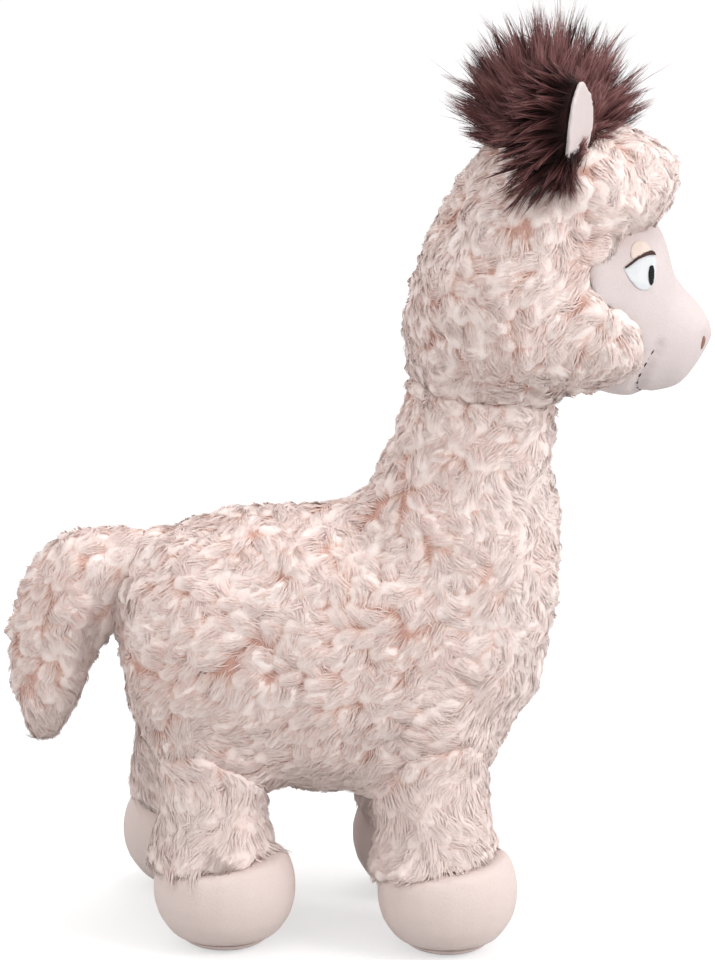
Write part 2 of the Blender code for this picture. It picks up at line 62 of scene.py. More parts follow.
class Socket:
    """A shader socket that can stand in a sum."""

    def __init__(self, finish, socket):
        self.finish = finish
        self.socket = socket

    def sum(self, operation, first, second):
        return self.finish.node("ShaderNodeMath", {"operation": operation}, {0: first, 1: second})

    def __add__(self, other):
        return self.sum("ADD", self, other)

    def __sub__(self, other):
        return self.sum("SUBTRACT", self, other)

    def __mul__(self, other):
        return self.sum("MULTIPLY", self, other)

    def __rsub__(self, other):
        return self.sum("SUBTRACT", other, self)

    __radd__ = __add__
    __rmul__ = __mul__


class Finish:
    """One material and its Principled shader."""

    def __init__(self, name, roughness, sheen=0.0, sheen_tint=(1, 1, 1), specular=0.3):
        self.material = bpy.data.materials.new(name)
        self.material.use_nodes = True
        self.tree = self.material.node_tree
        self.shader = self.tree.nodes["Principled BSDF"]
        self.shader.inputs["Roughness"].default_value = roughness
        self.shader.inputs["Sheen Weight"].default_value = sheen
        self.shader.inputs["Sheen Roughness"].default_value = 0.45
        self.shader.inputs["Sheen Tint"].default_value = (*sheen_tint, 1)
        self.shader.inputs["Specular IOR Level"].default_value = specular

    def node(self, kind, settings=None, sockets=None, output=0):
        made = self.tree.nodes.new(kind)
        for key, value in (settings or {}).items():
            if key == "stops":
                self.set_stops(made.color_ramp, value)
            else:
                setattr(made, key, value)
        for key, value in (sockets or {}).items():
            self.feed(made.inputs[key], value)
        return Socket(self, made.outputs[output])

    def set_stops(self, ramp, stops):
        while len(ramp.elements) < len(stops):
            ramp.elements.new(0.5)
        for element, (position, colour) in zip(ramp.elements, stops):
            element.position = position
            element.color = (*colour, 1)

    def feed(self, target, value):
        if isinstance(value, Socket):
            self.tree.links.new(value.socket, target)
        else:
            target.default_value = value

    def place(self):
        return self.node("ShaderNodeTexCoord", output="Object")

    def noise(self, scale, detail=2.0, roughness=0.5, vector=None):
        sockets = {"Vector": vector or self.place(), "Scale": scale}
        sockets |= {"Detail": detail, "Roughness": roughness}
        return self.node("ShaderNodeTexNoise", sockets=sockets)

    def blend(self, share, first, second, kind="MIX"):
        settings = {"data_type": "RGBA", "blend_type": kind}
        return self.node("ShaderNodeMix", settings, {0: share, 6: first, 7: second}, output=2)

    def colour(self, value):
        self.feed(self.shader.inputs["Base Color"], value)

    def bump(self, height, strength, distance):
        sockets = {"Height": height, "Strength": strength, "Distance": distance}
        self.feed(self.shader.inputs["Normal"], self.node("ShaderNodeBump", sockets=sockets))


def rgb(*colour):
    """A colour as seen on a screen, 0 to 255, as a shader takes it."""
    return tuple(c / 255 / 12.92 if c <= 10.31 else ((c / 255 + 0.055) / 1.055) ** 2.4 for c in colour)


def rgba(*colour):
    return (*rgb(*colour), 1)


def even_copy(node, name, voxel, smoothing):
    """A solid's shape as a closed skin of even faces."""
    obj = bpy.data.objects.new(name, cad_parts[node].data.copy())
    obj.data.materials.clear()
    bpy.context.scene.collection.objects.link(obj)
    bpy.ops.object.select_all(action="DESELECT")
    obj.select_set(True)
    bpy.context.view_layer.objects.active = obj
    bpy.ops.object.mode_set(mode="EDIT")
    bpy.ops.mesh.select_all(action="SELECT")
    bpy.ops.mesh.remove_doubles(threshold=0.00001)
    bpy.ops.object.mode_set(mode="OBJECT")
    even = obj.modifiers.new("even", "REMESH")
    even.mode = "VOXEL"
    even.voxel_size = voxel
    bpy.ops.object.modifier_apply(modifier=even.name)
    soft = obj.modifiers.new("soft", "SMOOTH")
    soft.factor = 0.5
    soft.iterations = smoothing
    bpy.ops.object.modifier_apply(modifier=soft.name)
    bpy.ops.object.shade_smooth()
    return obj


def numbers(collection, name, kind=np.float32):
    """One row of three numbers for each thing in a mesh."""
    out = np.empty(len(collection) * 3, kind)
    collection.foreach_get(name, out)
    return out.reshape(-1, 3)


def corners(obj):
    """A mesh's points, its smooth normals and its triangles."""
    mesh = obj.data
    mesh.calc_loop_triangles()
    points = numbers(mesh.vertices, "co").astype(float)
    normals = numbers(mesh.vertex_normals, "vector").astype(float)
    return points, normals, numbers(mesh.loop_triangles, "vertices", np.int32)


def move_points(obj, points):
    obj.data.vertices.foreach_set("co", points.ravel())
    obj.data.update()


def dress(obj, node, finish):
    """Gives a skin its material and lets it stand for its CAD node."""
    obj.data.materials.append(finish.material)
    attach(obj, "root")
    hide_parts(node)


def tree_of(*objs):
    """Finds the nearest place on these skins."""
    points, triangles, start = [], [], 0
    for obj in objs:
        place, _, faces = corners(obj)
        points.append(place)
        triangles.append(faces + start)
        start += len(place)
    return BVHTree.FromPolygons(np.concatenate(points).tolist(), np.concatenate(triangles).tolist())


def draw_in(obj, node, height):
    """Moves a skin inwards by the height of its pile, but not where it is sewn to another piece."""
    others = [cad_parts[n] for n in FLEECE_NODES + SMOOTH_NODES if n != node]
    sewn = tree_of(*others)
    points, normals, _ = corners(obj)
    near = np.array([sewn.find_nearest(Vector(p))[3] for p in points])
    share = np.clip((near - SEAM_WIDTH) / SEAM_SLOPE, 0, 1)
    move_points(obj, points - normals * (height * share)[:, None])


backing = Finish("fleece_backing", roughness=0.95, sheen=0.2)
# Painted shade: the backing turns salmon in the partings between tufts, where crest is low, for the shade
# down in the pile, and cream on the tufts.
crest = backing.node("ShaderNodeAttribute", {"attribute_name": "crest"}, output=2)
ragged = crest + 0.4 * (backing.noise(900, detail=3) - 0.5)
painted_parting_shade = [
    (0.0, rgb(200, 156, 142)),
    (0.2, rgb(224, 194, 183)),
    (0.42, rgb(236, 217, 210)),
    (1.0, rgb(241, 227, 222)),
]
backing.colour(backing.node("ShaderNodeValToRGB", {"stops": painted_parting_shade}, {0: ragged}))
backing.bump(backing.noise(1500, detail=3), strength=0.5, distance=0.0006)

skins = {}
for node in FLEECE_NODES:
    skin = even_copy(node, node + "_backing", voxel=0.0034, smoothing=6)
    draw_in(skin, node, PILE_HEIGHT)
    dress(skin, node, backing)
    skins[node] = skin


# Face, muzzle, feet and soles: short brushed velour over firm stuffing, sewn into the hood and the sleeves.
# Each is an even copy of its solid, smoothed as the stuffing pulls the cloth.


def velour_finish(name, dark, light, root):
    """Short brushed pile: a dark and a light tone in soft clouds, and the root's tone in the nap."""
    velour = Finish(name, roughness=0.85, sheen=0.3, sheen_tint=(1, 0.93, 0.9), specular=0.2)
    nap = velour.noise(1000, detail=4, roughness=0.8)
    tone = velour.blend(velour.noise(60, detail=3), rgba(*dark), rgba(*light))
    velour.colour(velour.blend(nap * 0.5, tone, rgba(*root)))
    velour.bump(nap, strength=0.6, distance=0.0008)
    return velour


# Lit and shaded copies of one velour: the face's copy is painted darker than the feet's, to offset the key
# lamp that falls most on the face.
face_velour = velour_finish("face_velour", (212, 200, 199), (220, 210, 209), (204, 186, 182))
foot_velour = velour_finish("foot_velour", (228, 211, 205), (236, 222, 217), (214, 188, 181))

for node in SMOOTH_NODES + ["sole_" + leg for leg in LEGS]:
    if node == "face":
        skin = even_copy(node, node + "_velour", voxel=0.0013, smoothing=34)
        dress(skin, node, face_velour)
    else:
        skin = even_copy(node, node + "_velour", voxel=0.002, smoothing=10)
        dress(skin, node, foot_velour)
    skins[node] = skin


# Fleece pile: fine curly cream fibres, knitted into the backing, turned salmon towards the root as painted
# shade down in the pile. They are brushed into soft tufts that overlap like shingles, part where two meet and
# hide the seams. The dense lower part of each tuft is a lump of the backing, and the loose upper fibres are
# modelled one by one.

TUFT_SPACING = 0.0047
TUFT_LENGTHS = (0.0075, 0.0125)
TUFT_RISE = ([0, 0.3, 0.6, 0.9, 1.15], [0.05, 0.8, 1.0, 0.88, 0.68])  # its height along its length
TUFT_FLATTENING = 1.1  # how much lower a tuft is towards its sides
CLUMPING = 0.35  # how far a tuft's fibres draw together at most
LUMP_FILL = 0.7  # the dense part's share of a tuft's height
LUMP_PLACES = np.array([0.15, 0.4, 0.65, 0.9])  # where along a tuft it is dense
LUMP_ROUNDING = 125.0  # how steeply a lump falls off, in 1/m
LUMP_SOFTNESS = 0.8  # how far light that passes through the pile evens out the lumps
SKIN_PER_FIBRE = 1.0e-6
FIBRE_WIDTH = 0.00046
FIBRE_ROWS = np.array([0.12, 0.5, 1.0])
FIBRE_TAPER = np.array([0.9, 1.0, 0.0])
FIBRE_TILT = np.array([-0.08, 0.0, 0.1])  # how far each row's shading leans along the tuft
FIBRE_ROUNDING = 0.4  # and how far it turns to a tuft's sides
SEAM_PILE = 0.003  # no fibre grows where this height above the cloth is inside a neighbour
BELLY = 0.1  # down to this height the pile is brushed more and more even
SLEEVE = 0.03  # and over this much below it the painted shade at the pile's root lessens to that of the sleeves
LIT_FRONT_PALENESS = 0.55  # how far painted light pales the fleece where the toy faces forwards, towards the key lamp, hiding the painted root shade
SLEEVE_PALENESS = 0.4  # and how far the painted root shade is lessened on the sleeves
EYE_CLEAR = 0.0125  # no fibre comes this near to the middle of an eye
NECK_FOOT, CHEST, FOREHEAD, TAIL_ROOT = 0.19, 0.05, 0.085, -0.135  # where the pile's lie turns
rng = np.random.default_rng(11)


def unit(v):
    return v / np.maximum(np.linalg.norm(v, axis=-1, keepdims=True), 1e-12)


def strew(obj, count):
    """Places anywhere on a skin, with its normals there."""
    points, normals, faces = corners(obj)
    a, b, c = (points[faces[:, i]] for i in range(3))
    area = np.linalg.norm(np.cross(b - a, c - a), axis=1) / 2
    if count < 1:
        count = int(area.sum() / count)
    face = rng.choice(len(faces), count, p=area / area.sum())
    r, s = np.sqrt(rng.random((count, 1))), rng.random((count, 1))
    weights = np.concatenate([1 - r, r * (1 - s), r * s], 1)
    place = (points[faces[face]] * weights[:, :, None]).sum(1)
    return place, unit((normals[faces[face]] * weights[:, :, None]).sum(1))


def scatter(obj, spacing):
    """Places on a skin that keep at least spacing apart, with its normals there."""
    place, normal = strew(obj, spacing**2 / 3)
    cells = {}
    kept = []
    near = [(i, j, k) for i in (-1, 0, 1) for j in (-1, 0, 1) for k in (-1, 0, 1)]
    for n, (p, cell) in enumerate(zip(place.tolist(), np.floor(place / spacing).astype(int).tolist())):
        beside = (cells.get((cell[0] + i, cell[1] + j, cell[2] + k)) for i, j, k in near)
        if all(q is None or math.dist(p, q) > spacing for q in beside):
            cells[tuple(cell)] = p
            kept.append(n)
    return place[kept], normal[kept]


def drift(points, wavelength, seed, waves=14):
    """Smooth noise from about -1 to 1."""
    own = np.random.default_rng(seed)
    directions = unit(own.normal(size=(waves, 3))) * math.tau / wavelength
    directions = directions * own.uniform(0.6, 1.5, (waves, 1))
    phases = own.uniform(0, math.tau, waves)
    return np.sin(points @ directions.T + phases).sum(1) / math.sqrt(waves) * 1.2


def inside(tree, point, direction=Vector((0.31, 0.87, 0.38))):
    """Whether a point is inside closed skins."""
    count = 0
    hit = tree.ray_cast(point, direction)
    while hit[0] is not None:
        count += 1
        hit = tree.ray_cast(hit[0] + direction * 1e-5, direction)
    return count % 2 == 1


def add_fibres(name, centre, shade, width, tone, rows_at, finish, slot):
    """Flat tapering fibres that end in a point, as one piece. Its UV map holds each fibre's tone and, up it,
    rows_at. centre and shade are (fibres, rows, 3), width and rows_at (fibres, rows)."""
    fibres, rows, _ = centre.shape
    ahead = unit(np.gradient(centre, axis=1))
    across = unit(np.cross(ahead, shade))
    half = across * width[:, :, None] / 2
    sides = np.stack([centre - half, centre + half], 2)[:, :-1].reshape(fibres, -1, 3)
    points = np.concatenate([sides, centre[:, -1:]], 1).reshape(-1, 3)
    normals = np.concatenate([np.repeat(shade[:, :-1], 2, 1), shade[:, -1:]], 1).reshape(-1, 3)
    tip = 2 * rows - 2
    one = []
    for i in range(0, tip - 2, 2):
        one += [i, i + 1, i + 3, i + 2]
    one += [tip - 2, tip - 1, tip]
    loops = (np.array(one)[None] + (tip + 1) * np.arange(fibres)[:, None]).ravel()
    totals = np.tile([4] * (rows - 2) + [3], fibres)
    side = np.array([-1.0, 1.0] * (rows - 1) + [0.0])
    u = 0.02 + 0.94 * tone[:, None] + 0.002 * side[None]
    rows_at = np.broadcast_to(rows_at, (fibres, rows))
    v = 0.01 + 0.98 * np.concatenate([np.repeat(rows_at[:, :-1], 2, 1), rows_at[:, -1:]], 1)

    mesh = bpy.data.meshes.new(name)
    mesh.vertices.add(len(points))
    mesh.vertices.foreach_set("co", points.ravel())
    mesh.loops.add(len(loops))
    mesh.loops.foreach_set("vertex_index", loops.astype(np.int32))
    mesh.polygons.add(len(totals))
    mesh.polygons.foreach_set("loop_start", (np.cumsum(totals) - totals).astype(np.int32))
    mesh.polygons.foreach_set("use_smooth", np.ones(len(totals), bool))
    layer = mesh.uv_layers.new(name="OFBake")
    layer.uv.foreach_set("vector", np.stack([u, v], 2).reshape(-1, 2)[loops].astype(np.float32).ravel())
    mesh.update(calc_edges=True)
    mesh.normals_split_custom_set_from_vertices(unit(normals).tolist())
    mesh.materials.append(finish.material)
    obj = bpy.data.objects.new(name, mesh)
    bpy.context.scene.collection.objects.link(obj)
    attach(obj, "root")


def lie(point, normal, ahead, length):
    """Three places along a tuft that lies on the toy, and the normals there."""
    places, normals = [point], [normal]
    step = ahead
    for _ in range(2):
        target = places[-1] + step * (length / 2)[:, None]
        found = [surface.find_nearest(Vector(p)) for p in target]
        place = np.array([f[0][:] for f in found])
        up = np.array([f[1][:] for f in found])
        up = np.where((up * normals[-1]).sum(1, keepdims=True) < 0, -up, up)
        step = unit(place - places[-1])
        places.append(place)
        normals.append(up)
    return places, normals


def comb(node, point):
    """The way the pile lies at each point, before it is tangled."""
    x, y, z = point.T
    still = np.zeros_like(x)
    if node == "body":
        neck = np.clip((z - NECK_FOOT) / 0.03, 0, 1)
        chest = np.clip((x - CHEST) / 0.03, 0, 1)
        upright = np.maximum(neck, chest)
        return unit(np.stack([-0.9 * (1 - upright) - 0.15 * upright, still, -0.35 - 0.65 * upright], 1))
    if node == "head":
        front = np.clip((x - FOREHEAD) / 0.03, 0, 1)
        return unit(np.stack([0.9 * front - 0.5 * (1 - front), 0.8 * y / 0.05, -0.9 + still], 1))
    if node == "tail":
        root = np.clip((x - TAIL_ROOT) / 0.02, 0, 1)
        return unit(np.stack([-0.9 * root - 0.15, still, -0.2 * root - 1.0 * (1 - root)], 1))
    return unit(np.stack([0.12 + still, still, -1 + still], 1))


def along(places, t):
    """Points on the smooth line through three places, at shares t of its length."""
    p0, p1, p2 = places
    return p0 * (2 * (t - 0.5) * (t - 1)) + p1 * (-4 * t * (t - 1)) + p2 * (2 * t * (t - 0.5))


class Tufts:
    """The tufts of one piece: where each stands, how it lies, how high it rises and its tone."""

    def __init__(self, node):
        self.node = node
        self.root, up = scatter(skins[node], TUFT_SPACING)
        count = len(self.root)
        ahead = comb(node, self.root)
        high = np.clip((self.root[:, 2] - BELLY) / 0.05, 0, 1)
        tangled = 0.22 + 0.45 * high
        angle = 0.7 * drift(self.root, 0.07, 3)
        angle += tangled * (drift(self.root, 0.026, 5) + 0.9 * drift(self.root, 0.014, 6))
        angle += rng.normal(0, 0.2, count)
        flat = unit(ahead - up * (ahead * up).sum(1, keepdims=True))
        ahead = flat * np.cos(angle)[:, None] + np.cross(up, flat) * np.sin(angle)[:, None]
        self.places, self.normals = lie(self.root, up, ahead, rng.uniform(*TUFT_LENGTHS, count))
        even = 0.4 + 0.6 * high
        uneven = 0.8 + 0.2 * high + even * (0.25 * drift(self.root, 0.018, 9) + rng.normal(0, 0.1, count))
        self.height = PILE_HEIGHT * uneven.clip(0.45, 1.4)
        self.curl = rng.normal(0, 0.0009, count)
        self.hook = rng.normal(0, 0.0008, count)
        self.clump = rng.uniform(0.0, CLUMPING, count) * even
        patches = 0.2 * drift(self.root, 0.03, 12)
        self.tone = (0.5 + even * (patches + rng.normal(0, 0.1, count))).clip(0, 1)
        self.finder = finder(self.root)


def finder(points):
    made = KDTree(len(points))
    for i, p in enumerate(points.tolist()):
        made.insert(p, i)
    made.balance()
    return made


def painted_shade_lift(points, normals):
    """How much of the painted shade at the pile's root is lifted: painted light where the toy faces forwards,
    towards the key lamp, and less painted shade on the legs.
    """
    forwards = np.clip((normals[:, 0] - 0.1) / 0.6, 0, 1)
    low = np.clip((BELLY - points[:, 2]) / SLEEVE, 0, 1)
    return np.maximum(LIT_FRONT_PALENESS * forwards, SLEEVE_PALENESS * low)


def raise_lumps(tufts):
    """Divides a backing finer and raises it under each tuft. Its crest is 0 in a parting, 1 on a tuft, and
    sets how much painted shade the parting gets.
    """
    skin = skins[tufts.node]
    bpy.ops.object.select_all(action="DESELECT")
    bpy.context.view_layer.objects.active = skin
    finer = skin.modifiers.new("finer", "SUBSURF")
    finer.levels = finer.render_levels = 1
    bpy.ops.object.modifier_apply(modifier=finer.name)
    middles = np.stack([along(tufts.places, t) for t in LUMP_PLACES], 1).reshape(-1, 3)
    heights = (LUMP_FILL * tufts.height[:, None] * np.interp(LUMP_PLACES, *TUFT_RISE)[None]).ravel()
    near = finder(middles)
    points, calm, _ = corners(skin)
    rise = np.zeros(len(points))
    for n, p in enumerate(points.tolist()):
        rise[n] = max(heights[i] - LUMP_ROUNDING * far * far for _, i, far in near.find_n(p, 10))
    rise = rise.clip(0, None)
    move_points(skin, points + calm * rise[:, None])
    # Painted shade: a low crest paints the backing salmon in the partings; it is raised where the toy faces
    # forwards, as painted light, and on the sleeves.
    crest = skin.data.attributes.new("crest", "FLOAT", "POINT")
    shown = rise / (LUMP_FILL * PILE_HEIGHT)
    crest.data.foreach_set("value", (shown + (1 - shown) * painted_shade_lift(points, calm)).astype(np.float32))
    lumpy = corners(skin)[1]
    skin.data.normals_split_custom_set_from_vertices(unit(lumpy + LUMP_SOFTNESS * calm).tolist())


def grow_fleece(tufts, name, part=None):
    """The loose fibres on one backing, or on a part of it. Each lies with the tuft whose root is nearest."""
    skin = skins[tufts.node]
    root, root_up = strew(skin, SKIN_PER_FIBRE)
    keep = np.ones(len(root), bool) if part is None else part(root)
    others = tree_of(*[skins[n] for n in FLEECE_NODES + SMOOTH_NODES if n != tufts.node])
    keep &= np.array([not inside(others, Vector(p)) for p in root + root_up * SEAM_PILE])
    root, root_up = root[keep], root_up[keep]
    fibres = len(root)
    blurred = root + rng.normal(0, 0.0009, root.shape)
    own = np.array([tufts.finder.find(p)[1] for p in blurred.tolist()])
    t = (rng.uniform(0.75, 1.15, (fibres, 1)) * FIBRE_ROWS[None])[:, :, None]
    places = [p[own][:, None] for p in tufts.places]
    up_at_root, up_at_end = root_up[:, None], tufts.normals[2][own][:, None]
    rise = unit(up_at_root * (1 - t.clip(0, 1)) + up_at_end * t.clip(0, 1))
    forward = unit(places[2] - places[0])
    across = unit(np.cross(rise, forward + 0 * rise))
    aside = (root - tufts.root[own])[:, None]
    pinch = 1 - tufts.clump[own][:, None, None] * np.minimum(t, 1.1) ** 1.3
    span = np.linalg.norm(aside[:, 0], axis=1, keepdims=True) / TUFT_SPACING
    lift = np.interp(t[:, :, 0], *TUFT_RISE) * (1 - TUFT_FLATTENING * span**2).clip(0.35, None)
    lift = lift * (tufts.height[own] * rng.uniform(0.9, 1.03, fibres))[:, None]
    stray = rng.gamma(1.0, 0.00018, (fibres, 1)) * t[:, :, 0] ** 2
    curl, hook = tufts.curl[own][:, None], tufts.hook[own][:, None]
    sway = curl * np.sin(math.pi * t[:, :, 0]) + hook * t[:, :, 0] ** 2
    sway = sway + rng.normal(0, 0.0012, (fibres, 1)) * t[:, :, 0]
    centre = along(places, t) + aside * pinch + rise * (lift + stray)[:, :, None]
    centre = centre + across * sway[:, :, None]
    round_off = (aside * across).sum(2, keepdims=True) / TUFT_SPACING
    tilt = forward * FIBRE_TILT[None, :, None]
    shade = unit(rise + across * FIBRE_ROUNDING * round_off * pinch + tilt)
    width = FIBRE_WIDTH * FIBRE_TAPER[None] * rng.uniform(0.7, 1.25, (fibres, 1))
    fibre_tone = (tufts.tone[own] + rng.normal(0, 0.07, fibres)).clip(0, 1)
    clear = np.ones(fibres, bool)
    for eye in eye_places:
        clear &= np.linalg.norm(centre - eye, axis=2).min(1) > EYE_CLEAR
    # Painted shade: where the salmon at the root is lifted, each fibre's rows move towards its cream tip.
    rows_with_shade_lifted = FIBRE_ROWS[None] + (1 - FIBRE_ROWS)[None] * painted_shade_lift(root, root_up)[:, None]
    shown = [values[clear] for values in (centre, shade, width, fibre_tone, rows_with_shade_lifted)]
    add_fibres(name, *shown, pile, "fleece")


def colour_fibres(finish, shaded_root_to_tip, tones):
    """Colours fibres from their root to their tip, each a little lighter or darker than the next."""
    laid = finish.node("ShaderNodeUVMap", {"uv_map": "OFBake"})
    tone = finish.node("ShaderNodeSeparateXYZ", sockets={0: laid}, output=0)
    upwards = finish.node("ShaderNodeSeparateXYZ", sockets={0: laid}, output=1)
    lengthwise = finish.node("ShaderNodeValToRGB", {"stops": shaded_root_to_tip}, {0: upwards})
    own_tone = finish.node("ShaderNodeValToRGB", {"stops": tones}, {0: tone})
    finish.colour(finish.blend(1.0, lengthwise, own_tone, "MULTIPLY"))


pile = Finish("fleece_pile", roughness=0.8, sheen=0.15, specular=0.15)
# Painted shade: the fibres turn salmon towards the root, for the shade down in the pile.
colour_fibres(
    pile,
    shaded_root_to_tip=[
        (0.1, rgb(214, 172, 158)),
        (0.3, rgb(229, 204, 195)),
        (0.55, rgb(235, 218, 213)),
        (1.0, rgb(238, 226, 222)),
    ],
    tones=[(0.0, rgb(247, 236, 232)), (0.5, rgb(251, 248, 246)), (1.0, rgb(255, 255, 255))],
)

eye_places = [np.mean(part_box("eye_white_" + side), axis=0) for side in ("right", "left")]
surface = tree_of(*skins.values())
coat = [Tufts(node) for node in FLEECE_NODES]
grow_fleece(coat[0], "body_fleece_right", part=lambda p: p[:, 1] < 0)
grow_fleece(coat[0], "body_fleece_left", part=lambda p: p[:, 1] >= 0)
for tufts in coat[1:]:
    grow_fleece(tufts, tufts.node + "_fleece")
for tufts in coat:
    raise_lumps(tufts)


# Topknot: long straight dark brown pile on a small round cap, sewn to the top of the hood. The pile stands
# out in all directions like a brush and clings into points. A wedge of it runs down in front of each ear.

CROWN = np.array([0.087, 0.0, 0.372])
CROWN_CAP = np.array([0.018, 0.015, 0.012])
POMPON = np.array([0.085, 0.0, 0.386])
POMPON_REACH = np.array([0.047, 0.034, 0.048])
TOPKNOT_TUFTS = 290
TOPKNOT_STRANDS = 46
TOPKNOT_SPREAD = 0.0034
LOWEST_RAY = -0.38  # no tuft points further down than this
WEDGE_LOW = np.array([0.093, 0.041, 0.3645])
WEDGE_HIGH = np.array([0.103, 0.012, 0.3790])
WEDGE_WIDTH = 0.0012
WEDGE_TUFTS = 46
WEDGE_STRANDS = 22
WEDGE_SPREAD = 0.0016
HAIR_WIDTH = 0.0004
HAIR_ROWS = np.array([0.0, 0.25, 0.5, 0.76, 1.0])
HAIR_TAPER = np.array([1.0, 1.0, 0.9, 0.6, 0.0])
HAIR_WEIGHT = 0.04  # how far the tips sink


def grow_hair(name, root, ahead, length, outward, strands, spread):
    """Tufts of long pile that cling into points. Each tuft has its own root, ahead, length and outward."""
    tufts = len(root)
    bend = unit(np.cross(ahead, rng.normal(size=(tufts, 3)))) * rng.uniform(0.02, 0.25, (tufts, 1))
    bend[:, 2] -= HAIR_WEIGHT
    count = tufts * strands
    own = np.repeat(np.arange(tufts), strands)
    t = (HAIR_ROWS[None] * rng.uniform(0.72, 1.04, (count, 1)))[:, :, None]
    long = length[own][:, None, None]
    offset = rng.normal(0, spread, (count, 3))[:, None]
    fly = unit(rng.normal(size=(count, 3)))[:, None] * rng.gamma(0.6, 0.07, (count, 1, 1))
    cling = 1 - rng.uniform(0.7, 0.98, (tufts, 1, 1))[own] * t
    path = long * (ahead[own][:, None] * t + bend[own][:, None] * t**2)
    centre = root[own][:, None] + offset * cling + path
    centre = centre + long * fly * t**2
    shade = unit(outward[own][:, None] + 0.5 * unit(offset) + 0 * centre)
    width = HAIR_WIDTH * HAIR_TAPER[None] * rng.uniform(0.6, 1.2, (count, 1))
    tone = (rng.normal(0.5, 0.12, tufts)[own] + rng.normal(0, 0.16, count)).clip(0, 1)
    add_fibres(name, centre, shade, width, tone, HAIR_ROWS, hair, "long_pile")


hair = Finish("long_pile", roughness=0.6, sheen=0.05, specular=0.15)
# Partly painted shade: the pile is near black at the root, partly its own dark brown and partly the shade in
# the topknot's core and under the ears' pile.
colour_fibres(
    hair,
    shaded_root_to_tip=[
        (0.0, rgb(14, 5, 4)),
        (0.4, rgb(70, 35, 33)),
        (0.75, rgb(132, 88, 86)),
        (1.0, rgb(196, 152, 150)),
    ],
    tones=[(0.0, rgb(160, 142, 142)), (0.5, rgb(220, 208, 208)), (1.0, rgb(255, 250, 250))],
)

# Partly painted shade: the cloth under the long pile is near black, partly its own dark brown and partly the
# shade inside the pile.
shaded_hair_cloth = Finish("long_pile_backing", roughness=0.9, sheen=0.05, specular=0.1)
shaded_hair_cloth.colour(shaded_hair_cloth.blend(shaded_hair_cloth.noise(500, detail=3), rgba(22, 10, 8), rgba(46, 25, 22)))
shaded_hair_cloth.bump(shaded_hair_cloth.noise(900), strength=0.6, distance=0.001)

bpy.ops.object.select_all(action="DESELECT")
# Painted shade: the cap is a dark ball in the middle of the topknot, where the pile shades it.
bpy.ops.mesh.primitive_uv_sphere_add(segments=32, ring_count=20, radius=1, location=POMPON)
cap = bpy.context.active_object
cap.name = "topknot_backing"
cap.scale = POMPON_REACH * 0.5
bpy.ops.object.transform_apply(location=True, rotation=True, scale=True)
bpy.ops.object.shade_smooth()
dress(cap, "topknot", shaded_hair_cloth)

rays = unit(rng.normal(size=(TOPKNOT_TUFTS * 4, 3)))
rays = rays[rays[:, 2] > LOWEST_RAY][:TOPKNOT_TUFTS]
shorter = 1 + 0.35 * np.minimum(rays[:, 2:], 0)
tips = POMPON + rays * POMPON_REACH * rng.uniform(0.78, 1.1, (len(rays), 1)) * shorter
starts = CROWN + rays * CROWN_CAP
reach = np.linalg.norm(tips - starts, axis=1)
grow_hair("topknot_pile", starts, unit(tips - starts), reach, rays, TOPKNOT_STRANDS, TOPKNOT_SPREAD)

for side, sign in (("right", -1), ("left", 1)):
    mirror = np.array([1, sign, 1])
    up_wedge = rng.random((WEDGE_TUFTS, 1))
    starts = WEDGE_LOW + (WEDGE_HIGH - WEDGE_LOW) * up_wedge
    starts = (starts + rng.normal(0, WEDGE_WIDTH, (WEDGE_TUFTS, 3))) * mirror
    ahead = unit(np.array([0.35, 0.15, 0.9]) * mirror + rng.normal(0, 0.16, (WEDGE_TUFTS, 3)))
    length = (0.012 + 0.014 * up_wedge[:, 0]) * rng.uniform(0.8, 1.15, WEDGE_TUFTS)
    outward = unit(np.array([0.3, 0.9, 0.3]) * mirror + 0 * ahead)
    grow_hair("topknot_" + side + "_edge", starts, ahead, length, outward, WEDGE_STRANDS, WEDGE_SPREAD)


# Ears: two leaf shapes of cloth sewn to the hood, leaning forward and out. The front is velour, cut from the
# same cloth as the face. The back has the topknot's long pile, brushed back, and it covers the lining's foot.

EAR_TUFT_SPACING = 0.0022
EAR_FOOT = 0.0135  # the height of the fur that covers the lining's foot
EAR_FOOT_SPACING = 0.0012
EAR_STRANDS = 11
EAR_SPREAD = 0.0009
EAR_LOW, EAR_HEIGHT = 0.36, 0.05  # over this height the fur turns from back and down to back and up

